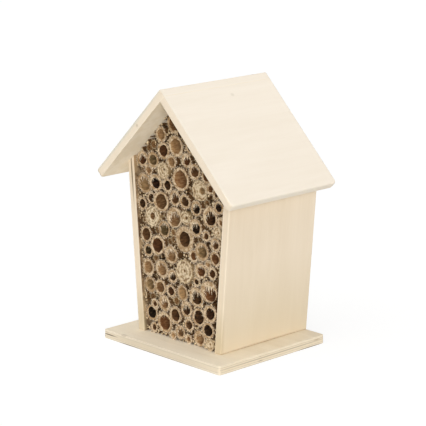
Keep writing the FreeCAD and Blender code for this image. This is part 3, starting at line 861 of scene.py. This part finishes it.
def fringe(node, mesh, share, heading, scatter, length, width, seed):
    """Fibres set by chance on points of a mesh, all heading much the same way. share is each point's chance."""
    chance = node(CHANCE, {"Min": 0.0, "Max": 1.0, "Seed": seed})
    chosen = node(COMPARE, {0: chance, 1: share}, operation="LESS_THAN")
    stray = node(CHANCE, {0: (-scatter,) * 3, 1: (scatter,) * 3, "Seed": seed}, data_type="FLOAT_VECTOR")
    way = node(V_PLUS, heading, stray)
    turned = node("FunctionNodeAlignRotationToVector", {"Vector": way}, axis="Z")
    sizes = node(CHANCE, {"Min": FIBRE_SHORTEST, "Max": 1.0, "Seed": seed})
    broad = node(TIMES, width, sizes)
    stretch = node(XYZ, {"X": broad, "Y": node(TIMES, broad, FIBRE_FLATNESS), "Z": node(TIMES, length, sizes)})
    for label, value, kind in (("fibre_turn", turned, "QUATERNION"), ("fibre_size", stretch, "FLOAT_VECTOR")):
        mesh = node(STORE, {"Geometry": mesh, "Name": label, "Value": value}, data_type=kind, domain="POINT")
    points = node("GeometryNodeMeshToPoints", {"Mesh": mesh, "Selection": chosen})
    # Instances would carry the mark of their point, and all marks would then blur from faces to points
    bare = node("GeometryNodeRemoveAttribute", {"Geometry": points, "Name": "zone"})
    spike = node("GeometryNodeMeshCone", {
        "Vertices": 4, "Side Segments": 1, "Radius Top": 0.05, "Radius Bottom": 0.5, "Depth": 1.0})
    marked = node(STORE, {"Geometry": spike, "Name": "zone", "Value": FIBRE}, data_type="INT", domain="FACE")
    turn = node(READ, {"Name": "fibre_turn"}, data_type="QUATERNION")
    size = node(READ, {"Name": "fibre_size"}, data_type="FLOAT_VECTOR")
    return node("GeometryNodeInstanceOnPoints", {
        "Points": bare, "Instance": marked, "Rotation": turn, "Scale": size})


def stem_tree():
    """Geometry nodes that wrap a net round one stem, tear its lip and set fibres along the tear."""
    tree, node = new_tree(STEM_TREE, STEM_INPUTS)
    given = node("NodeGroupInput").outputs
    net = {label: node(READ, {"Name": label}).outputs["Attribute"] for label in NET_LABELS}
    seed = given["Seed"]
    # Direction round the stem
    angle = node(TIMES, net["turn"], math.tau)
    outward = node(XYZ, {"X": node(COSINE, angle), "Z": node(SINE, angle)})
    waves, rags, bore_waves, teeth = (
        node(NOISE_4D, {"Vector": outward, "W": seed, "Scale": scale, "Detail": detail})
        for scale, detail in ROUND_NOISE)
    # Oval, wavy outline about the round one
    lobe = node(COSINE, node(TIMES_PLUS, angle, 2.0, seed))
    flattening = node(RANGE, {"Value": lobe, "From Min": -1.0, "To Max": given["Ovality"]})
    loss = node(PLUS, flattening, node(TIMES, waves, given["Unevenness"]))
    whole = node(MINUS, OUTLINE_MARGIN, loss)
    # Ragged outer edge of the cut
    rag = node(RANGE, {"Value": rags, **NOISE_SPAN, "To Min": -1.0})
    outline = node(TIMES_PLUS, node(TIMES, rag, net["front"]), given["Raggedness"], whole)
    grown = node(TIMES, node(TIMES, given["Outer diameter"], 0.5), outline)
    skin = node(MINUS, grown, node(TIMES, net["groove"], given["Groove depth"]))
    # Bore with its own waves, torn inward along the upper lip
    bore_wave = node(RANGE, {"Value": bore_waves, **NOISE_SPAN, "To Min": 1.0, "To Max": BORE_NARROWEST})
    tooth = node(RANGE, {"Value": teeth, **TEETH})
    upper = node(V_DOT, outward, TEAR_WAY)
    arc = node(RANGE, {"Value": upper, **TEAR_ARC})
    torn = node(TIMES, node(TIMES, tooth, arc), given["Torn share"])
    bore_share = node(MINUS, bore_wave, node(TIMES, torn, net["lip"]))
    hollow = node(TIMES, node(TIMES, given["Bore diameter"], 0.5), bore_share)
    # From bore to skin, with the lip rounded
    between = node(MIX, {0: net["across"], 2: hollow, 3: skin}, clamp_factor=False)
    radius = node(TIMES_PLUS, net["inset"], given["Lip rounding"], between)
    spoke = node(V_SCALED, {0: outward, "Scale": radius})
    inner_share = node(MINUS, 1.0, net["across"])
    offset = node(V_SCALED, {0: given["Bore offset"], "Scale": inner_share})
    section = node(V_PLUS, spoke, offset)
    # Depth: rows along the stem, the slanted rough cut and the sunk pith
    bowed = node(SINE, node(TIMES, net["back"], math.pi))
    run = node(TIMES, node(TIMES_PLUS, bowed, given["Groove shift"], net["back"]), given["Length"])
    slant = node(V_DOT, section, given["Cut slant"])
    spot = node(V_PLUS, section, given["Place"])
    rasps = node(NOISE, {"Vector": spot, "Scale": 1 / RASP_SIZE, "Detail": 3.0})
    face = node(PLUS, slant, node(TIMES, rasps, given["Saw marks"]))
    crumbs = node(NOISE, {"Vector": spot, "Scale": 1 / CRUMB_SIZE, "Detail": 2.0})
    crumb = node(RANGE, {"Value": crumbs, **CRUMB_SINK})
    crumbled = node(TIMES_PLUS, node(TIMES, net["sink"], given["Pith sink"]), crumb, face)
    lifted = node(TIMES_PLUS, net["lift"], given["Lip rounding"], crumbled)
    depth = node(TIMES_PLUS, lifted, net["front"], run)
    position = node(V_PLUS, spot, node(XYZ, {"Y": depth}))
    wrapped = node(MOVE, {"Geometry": given["Geometry"], "Position": position})
    smooth = node("GeometryNodeSetShadeSmooth", {"Geometry": wrapped, "Shade Smooth": True})
    # Fibres along the torn lip, hanging into the bore
    inward = node(V_SCALED, {0: outward, "Scale": FIBRE_INWARD})
    hanging = node(V_PLUS, inward, FIBRE_HANG)
    lip_chance = node(TIMES, node(TIMES, arc, given["Torn share"]), net["root"])
    fibres = fringe(
        node, smooth, lip_chance, hanging, FIBRE_SCATTER, given["Fibre length"], given["Fibre width"], seed)
    # Short burr round the outside of the cut
    leaning = node(V_PLUS, outward, BURR_LEAN)
    burr_chance = node(TIMES, net["burr"], BURR_CHANCE)
    burr_width = node(TIMES, given["Burr length"], BURR_WIDTH)
    burrs = fringe(node, smooth, burr_chance, leaning, BURR_SCATTER, given["Burr length"], burr_width, seed)
    together = node("GeometryNodeJoinGeometry")
    for part in (burrs, fibres, smooth):
        tree.links.new(part.outputs[0], together.inputs[0])
    toned = node(STORE, {"Geometry": together, "Name": "tone", "Value": given["Tone"]})
    real = node(REALIZE, {"Geometry": toned})
    tinted = node(STORE, {"Geometry": real, "Name": "tint", "Value": given["Tint"]})
    dress_zones(node, tinted, given, STEM_INPUTS["Material"])
    return tree


# A stem is solid if all its vertices lie this far out or farther, against the farthest
SOLID_SHARE = 0.97
# Tones, torn shares and offset of the bore against the wall, for stems without a look
CHANCE_TONES = (0.1, 0.2, 0.35, 0.5, 0.6)
CHANCE_TEARS = (0.0, 0.1, 0.3, 0.7)
CHANCE_OFFSET = 0.15
# Shift of the growth rings, against the stem's length, and depth of their grooves, against its width
GROOVE_SHIFT = 0.2
GROOVE_SHARE = 0.02
SEEDS = 1000
# Lip rounding is at most this share of the wall
LIP_SHARE = 0.25
# Tint of olive linings, and the share of their chance tint that other linings with a look take
OLIVE_TINT, RED_TINT_SHARE = 1.0, 0.5
PITH_TONE = 0.3
PITH_SINK = 0.45 * MM
CUT_SINK = 0.1 * MM
TWIG_TONE = 0.1
TWIG_HOLE_SHARE = 0.14
TWIG_DEPTHS = (1.0 * MM, 5.0 * MM)
FIBRE_WIDTH = 0.15 * MM
FIBRE_WIDTH_SHARE = 0.07


def nodes_starting(*starts):
    """CAD nodes whose names start with one of the words."""
    return sorted(name for name in NODES if name.startswith(starts))


def measured(points):
    """Place of a stem's front end, its outer and bore diameters and its length, from its vertices."""
    low = Vector([min(p[k] for p in points) for k in range(3)])
    high = Vector([max(p[k] for p in points) for k in range(3)])
    middle = (low + high) / 2
    spans = [math.hypot(p.x - middle.x, p.z - middle.z) for p in points]
    bore = 2 * min(spans) if min(spans) < SOLID_SHARE * max(spans) else 0.0
    return Vector((middle.x, low.y, middle.z)), 2 * max(spans), bore, high.y - low.y


def look_of(place, looks):
    """Look listed for the stem at a place, without the place itself, or None."""
    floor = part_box("base_board")[1].z
    spot = (place.x / MM, (place.z - floor) / MM)
    nearest = min(looks, key=lambda look: math.dist(look[:2], spot))
    return nearest[2:] if math.dist(nearest[:2], spot) < LOOK_REACH else None


def make_stems(kind, names, materials):
    """Stems of one kind, one mesh for each CAD node."""
    stems = bpy.context.scene.beehotel_stems
    tree = bpy.data.node_groups.get(STEM_TREE) or stem_tree()
    net = stem_net(kind + "_net", HOLLOW_RIM if kind == "hollow" else PITH_RIM, stems.around)
    for material in materials:
        net.materials.append(material)
    for node in names:
        whole = bmesh.new()
        for points in loose_pieces(node):
            place, outer, bore, length = measured(points)
            chance = random.Random(f"{kind} {round(place.x / MM)} {round(place.z / MM)}")
            wall = (outer - bore) / 2
            tone, torn = chance.choice(CHANCE_TONES), chance.choice(CHANCE_TEARS)
            aside, upward = (chance.uniform(-CHANCE_OFFSET, CHANCE_OFFSET) * wall for _ in range(2))
            tint = chance.random()
            if kind == "hollow" and look_of(place, CANE_LOOKS):
                tone, torn, aside, upward = (*look_of(place, CANE_LOOKS), 0, 0)[:4]
                aside, upward = aside * wall, upward * wall
                tint = OLIVE_TINT if look_of(place, OLIVE_BORES) is not None else RED_TINT_SHARE * tint
            if kind == "pith":
                tone, torn = PITH_TONE, 0.0
                if look_of(place, PITH_LOOKS):
                    hole, aside, upward, tone = look_of(place, PITH_LOOKS)
                    bore, aside, upward = hole * MM, aside * MM, upward * MM
            if kind == "twig":
                tone, torn, bore = TWIG_TONE, 0.0, TWIG_HOLE_SHARE * outer
                sunk = chance.uniform(*TWIG_DEPTHS)
                place.y += sunk
                length -= sunk
            values = {
                "Outer diameter": outer, "Bore diameter": bore, "Length": length, "Place": place,
                "Ovality": stems.ovality * chance.random(), "Unevenness": stems.unevenness,
                "Raggedness": stems.raggedness, "Bore offset": Vector((aside, 0, upward)),
                "Cut slant": Vector((chance.uniform(-1, 1), 0, chance.uniform(-1, 1))) * stems.slant,
                "Saw marks": stems.saw_marks, "Lip rounding": min(stems.rounding, LIP_SHARE * wall),
                "Groove depth": GROOVE_SHARE * outer, "Groove shift": chance.uniform(-GROOVE_SHIFT, GROOVE_SHIFT),
                "Pith sink": PITH_SINK if kind == "pith" else CUT_SINK, "Torn share": torn,
                "Fibre length": stems.fibre_length * bore, "Fibre width": FIBRE_WIDTH + FIBRE_WIDTH_SHARE * bore,
                "Burr length": stems.burr_length, "Tone": tone, "Tint": tint, "Seed": chance.randrange(SEEDS),
                **dict(zip(STEM_INPUTS["Material"], materials)),
            }
            blank = placed("stem_blank", net)
            stem = worked(blank, tree, values)
            whole.from_mesh(stem)
            bpy.data.meshes.remove(stem)
            bpy.data.objects.remove(blank)
        mesh = meshed(node + "_stem", whole)
        for material in materials:
            mesh.materials.append(material)
        for label in NET_LABELS[1:] + ("zone",):
            mesh.attributes.remove(mesh.attributes[label])
        show(node + "_stem", mesh, node)
    bpy.data.meshes.remove(net)


STRAW_DEPTHS = (0.2 * MM, 4.0 * MM)
# Straws this near to a wall reach further to the front, to this share of the depth
STRAW_WALL_REACH = 2.5 * MM
STRAW_WALL_SHARE = 0.3
STRAW_THINNEST = 0.3 * MM
STRAW_SIDES = 6
STRAW_FRAY = 1.2 * MM
STRAW_FRAY_SIZE = 0.6 * MM
STRAW_STOP = 2.0 * MM


def gap_places():
    """Places and radii of the straws that fill the gaps between stems and walls, and how far each is from the walls,
    found by trying chance places."""
    stems = bpy.context.scene.beehotel_stems
    circles = []
    for node in nodes_starting("cane_", "pith_stem", "thin_", "filling_twigs"):
        for points in loose_pieces(node):
            place, outer = measured(points)[:2]
            circles.append((place.x, place.z, outer / 2))
    room = sorted({(round(p.x, 5), round(p.z, 5)) for p in corners_of("back_panel")})
    corners = [Vector(room[i]) for i in convex_hull_2d(room)]
    middle = sum(corners, Vector((0, 0))) / len(corners)
    corners.sort(key=lambda c: math.atan2(c.y - middle.y, c.x - middle.x))
    low = Vector([min(c[k] for c in corners) for k in (0, 1)])
    high = Vector([max(c[k] for c in corners) for k in (0, 1)])
    chance = random.Random(stems.straw_seed)
    straws = []
    for _ in range(stems.straw_tries):
        spot = Vector((chance.uniform(low.x, high.x), chance.uniform(low.y, high.y)))
        from_wall = min(
            (there - here).normalized().cross(spot - here) for here, there in zip(corners, corners[1:] + corners[:1]))
        room_left = min(from_wall, stems.straw_width / 2)
        for x, z, radius in circles:
            room_left = min(room_left, math.hypot(spot.x - x, spot.y - z) - radius)
            if room_left < STRAW_THINNEST:
                break
        else:
            circles.append((spot.x, spot.y, room_left))
            straws.append((spot.x, spot.y, room_left, from_wall))
    return straws


def straw_tree():
    """Geometry nodes that set a straw with a frayed front end on each point, as thick and long as the point says."""
    tree, node = new_tree("gap_straws", STRAW_INPUTS)
    given = node("NodeGroupInput").outputs
    stick = node("GeometryNodeMeshCylinder", {
        "Vertices": given["Sides"], "Side Segments": 1, "Radius": 1.0, "Depth": 1.0}, fill_type="NGON")
    marked = node(
        STORE, {"Geometry": stick, "Selection": stick.outputs["Bottom"], "Name": "zone", "Value": END_GRAIN},
        data_type="INT", domain="FACE")
    laid = node("GeometryNodeTransform", {
        "Geometry": marked, "Translation": (0, 0.5, 0), "Rotation": (-math.pi / 2, 0, 0)})
    size = node(READ, {"Name": "straw_size"}, data_type="FLOAT_VECTOR")
    set_out = node("GeometryNodeInstanceOnPoints", {"Points": given["Geometry"], "Instance": laid, "Scale": size})
    real = node(REALIZE, {"Geometry": set_out})
    spot = node("GeometryNodeInputPosition")
    ragged = node(
        NOISE, {"Vector": spot, "Scale": 1 / STRAW_FRAY_SIZE, "Detail": 1.0, "W": given["Seed"]},
        noise_dimensions="4D")
    behind = node(XYZ, {"Y": node(TIMES, ragged, given["Fray"])})
    frayed = node(MOVE, {"Geometry": real, "Offset": behind})
    dress_zones(node, frayed, given, STRAW_INPUTS["Material"])
    return tree


def make_straws(skin, cut):
    """Thin straws wedged in the gaps, in one mesh."""
    stems = bpy.context.scene.beehotel_stems
    low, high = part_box("thin_reeds_lower")
    chance = random.Random(stems.straw_seed)
    spots, sizes = [], []
    for x, z, radius, from_wall in gap_places():
        depth = chance.uniform(*STRAW_DEPTHS)
        front = low.y + (depth * STRAW_WALL_SHARE if from_wall < STRAW_WALL_REACH else depth)
        spots.append((x, front, z))
        sizes += (radius, high.y - STRAW_STOP - front, radius)
    net = bpy.data.meshes.new("straw_places")
    net.from_pydata(spots, [], [])
    layer = net.attributes.new("straw_size", "FLOAT_VECTOR", "POINT")
    layer.data.foreach_set("vector", sizes)
    blank = placed("straw_places", net)
    mesh = worked(blank, straw_tree(), {
        "Sides": STRAW_SIDES, "Fray": STRAW_FRAY, "Seed": stems.straw_seed, "Skin": skin, "Cut": cut})
    mesh.name = "gap_straws"
    discard(blank)
    mesh.attributes.remove(mesh.attributes["zone"])
    show("gap_straws", mesh, "filling_twigs")


class BEEHOTEL_OT_canes(bpy.types.Operator):
    """Hollow reeds and bamboo canes, with torn lips where the saw pulled fibres"""
    bl_idname = "beehotel.canes"
    bl_label = "Canes and reeds"

    def execute(self, context):
        stems = context.scene.beehotel_stems
        make_stems("hollow", nodes_starting("cane_", "thin_reeds"), [
            # The cane skin's dark brown is partly painted shade for the gaps between the stems
            bark_material("dry_cane_skin", stems.shaded_bark_colour, dark_factor=0.45, streak_length=30 * MM),
            cut_material("saw_cut_cane", stems.rim_colour),
            lining_material("papery_bore_lining"),
            fibre_material("torn_cane_fibre", colour("F2E0C2"), dark_factors=(0.42, 0.32, 0.23)),
        ])
        return {"FINISHED"}


class BEEHOTEL_OT_pith_stems(bpy.types.Operator):
    """Stems filled with pith round a small hole"""
    bl_idname = "beehotel.pith_stems"
    bl_label = "Pith stems"

    def execute(self, context):
        stems = context.scene.beehotel_stems
        make_stems("pith", nodes_starting("pith_stem", "thin_pith"), [
            bark_material("dry_pith_stem_skin", colour("B5966A"), dark_factor=0.5, streak_length=25 * MM),
            pith_material("sawn_dry_pith", stems.pith_colour),
            lining_material("pith_hole_lining"),
            fibre_material("torn_pith_fibre", colour("E4D0AE"), dark_factors=(0.55, 0.45, 0.34)),
        ])
        return {"FINISHED"}


class BEEHOTEL_OT_twigs(bpy.types.Operator):
    """Thin twigs that fill the gaps between the stems, and straws in the gaps that are left"""
    bl_idname = "beehotel.twigs"
    bl_label = "Filling twigs"

    def execute(self, context):
        stems = context.scene.beehotel_stems
        make_stems("twig", ["filling_twigs"], [
            bark_material("twig_bark", stems.twig_colour, dark_factor=0.5, streak_length=15 * MM),
            pith_material("sawn_twig", colour("8C6C48")),
            lining_material("twig_pith"),
            fibre_material("torn_twig_fibre", colour("CDB48C"), dark_factors=(0.45, 0.36, 0.26)),
        ])
        make_straws(
            bark_material("gap_straw_skin", colour("6E4E2C"), dark_factor=0.5, streak_length=10 * MM),
            fibre_material("gap_straw_end", colour("E0CAA2"), dark_factors=(0.34, 0.25, 0.17)))
        return {"FINISHED"}


FLOOR_REACH = 20.0
# How much of the floor's look is its own glow where the camera sees it, and the strength of that glow
FLOOR_GLOW_SHARE = 0.72
FLOOR_GLOW = 1.14
FLOOR_UNSEEN, FLOOR_SEEN = "D4D2CC", "F4F4F2"
WHITE = (1, 1, 1, 1)
SENSOR_WIDTH = 36.0
CLIP_START, CLIP_END = 0.05, 60.0


def seen_directly(node):
    """1 for rays from the camera, also by way of a gloss or through glass, and 0 for rays that light other things."""
    paths = node("ShaderNodeLightPath").outputs
    seen = node(LARGER, paths["Is Camera Ray"], paths["Is Glossy Ray"])
    return node(LARGER, seen, paths["Is Transmission Ray"])


def paper_material(name):
    """White studio paper, rolled smooth and dull. It shows white to the camera and keeps part of the object's
    shadow."""
    material, node = new_material(name)
    seen = seen_directly(node)
    glow_share = node(TIMES, seen, FLOOR_GLOW_SHARE)
    shade = node(BLEND, {0: seen, 6: colour(FLOOR_UNSEEN), 7: colour(FLOOR_SEEN)})
    paper = node("ShaderNodeBsdfDiffuse", {"Color": shade})
    glow = node("ShaderNodeEmission", {"Color": WHITE, "Strength": FLOOR_GLOW})
    both = node("ShaderNodeMixShader", {0: glow_share, 1: paper, 2: glow})
    node(OUTPUT, {"Surface": both})
    return material


class BEEHOTEL_OT_stage(bpy.types.Operator):
    """Pale floor, soft studio light and the camera"""
    bl_idname = "beehotel.stage"
    bl_label = "Stage"

    def execute(self, context):
        stage = context.scene.beehotel_stage
        scene = context.scene
        scene.view_settings.view_transform = "Standard"
        floor_mesh = bpy.data.meshes.new("floor")
        floor_mesh.from_pydata(
            [(x * FLOOR_REACH, y * FLOOR_REACH, 0) for x, y in ((-1, -1), (1, -1), (1, 1), (-1, 1))], [],
            [(0, 1, 2, 3)])
        floor = placed("floor", floor_mesh)
        floor_mesh.materials.append(paper_material("white_studio_paper"))
        # Studio tent
        world = bpy.data.worlds.new("studio_tent")
        world.use_nodes = True
        world.node_tree.nodes.clear()
        node = partial(add, world.node_tree)
        strength = node(RANGE, {"Value": seen_directly(node), "To Min": stage.sky, "To Max": 1.0})
        sky = node("ShaderNodeBackground", {"Color": WHITE, "Strength": strength})
        node("ShaderNodeOutputWorld", {"Surface": sky})
        scene.world = world
        # Two wide soft lamps, one low beside the camera and one overhead: light, way to the lamp, width in degrees
        for name, energy, towards, disc in (
                ("soft_key", stage.key, (0.74, -0.65, 0.17), 26), ("soft_top", stage.top, (-0.08, -0.47, 0.88), 60)):
            lamp = bpy.data.lights.new(name, "SUN")
            lamp.energy = energy
            lamp.angle = math.radians(disc)
            holder = placed(name, lamp)
            holder.rotation_mode = "QUATERNION"
            holder.rotation_quaternion = Vector(towards).to_track_quat("Z", "Y")
        # Camera
        lens = bpy.data.cameras.new("camera")
        lens.sensor_width = SENSOR_WIDTH
        lens.lens = stage.focal_length
        lens.clip_start, lens.clip_end = CLIP_START, CLIP_END
        camera = placed("camera", lens)
        away = Vector((
            math.sin(stage.turn) * math.cos(stage.rise), -math.cos(stage.turn) * math.cos(stage.rise),
            math.sin(stage.rise)))
        right = Vector((math.cos(stage.turn), math.sin(stage.turn), 0))
        upward = away.cross(right)
        axes = Matrix((right, upward, away)).transposed().to_4x4()
        eye = right * stage.aside + upward * stage.lift + away * stage.distance
        camera.matrix_world = Matrix.Translation(eye) @ axes
        scene.camera = camera
        return {"FINISHED"}


class BEEHOTEL_PT_panel(bpy.types.Panel):
    """Lists the steps that dress the bee hotel"""
    bl_idname = "BEEHOTEL_PT_panel"
    bl_label = "Bee hotel"
    bl_space_type = "VIEW_3D"
    bl_region_type = "UI"
    bl_category = "Bee hotel"

    def draw(self, context):
        column = self.layout.column()
        for operator in OPERATORS:
            column.operator(operator.bl_idname)
        scene = context.scene
        for group in (scene.beehotel_plywood, scene.beehotel_stems, scene.beehotel_stage):
            box = self.layout.box()
            for label in group.bl_rna.properties.keys():
                if label not in ("rna_type", "name"):
                    box.prop(group, label)


GROUPS = (PlywoodSettings, StemSettings, StageSettings)
OPERATORS = (
    BEEHOTEL_OT_stage, BEEHOTEL_OT_base_board, BEEHOTEL_OT_walls, BEEHOTEL_OT_roof, BEEHOTEL_OT_pins,
    BEEHOTEL_OT_canes, BEEHOTEL_OT_pith_stems, BEEHOTEL_OT_twigs,
)


def register():
    for cls in GROUPS + OPERATORS + (BEEHOTEL_PT_panel,):
        bpy.utils.register_class(cls)
    bpy.types.Scene.beehotel_plywood = PointerProperty(type=PlywoodSettings)
    bpy.types.Scene.beehotel_stems = PointerProperty(type=StemSettings)
    bpy.types.Scene.beehotel_stage = PointerProperty(type=StageSettings)


def unregister():
    del bpy.types.Scene.beehotel_stage
    del bpy.types.Scene.beehotel_stems
    del bpy.types.Scene.beehotel_plywood
    for cls in reversed(GROUPS + OPERATORS + (BEEHOTEL_PT_panel,)):
        bpy.utils.unregister_class(cls)


def main():
    register()
    bpy.ops.beehotel.stage()
    bpy.ops.beehotel.base_board()
    bpy.ops.beehotel.walls()
    bpy.ops.beehotel.roof()
    bpy.ops.beehotel.pins()
    bpy.ops.beehotel.canes()
    bpy.ops.beehotel.pith_stems()
    bpy.ops.beehotel.twigs()


if __name__ == "__main__":
    main()
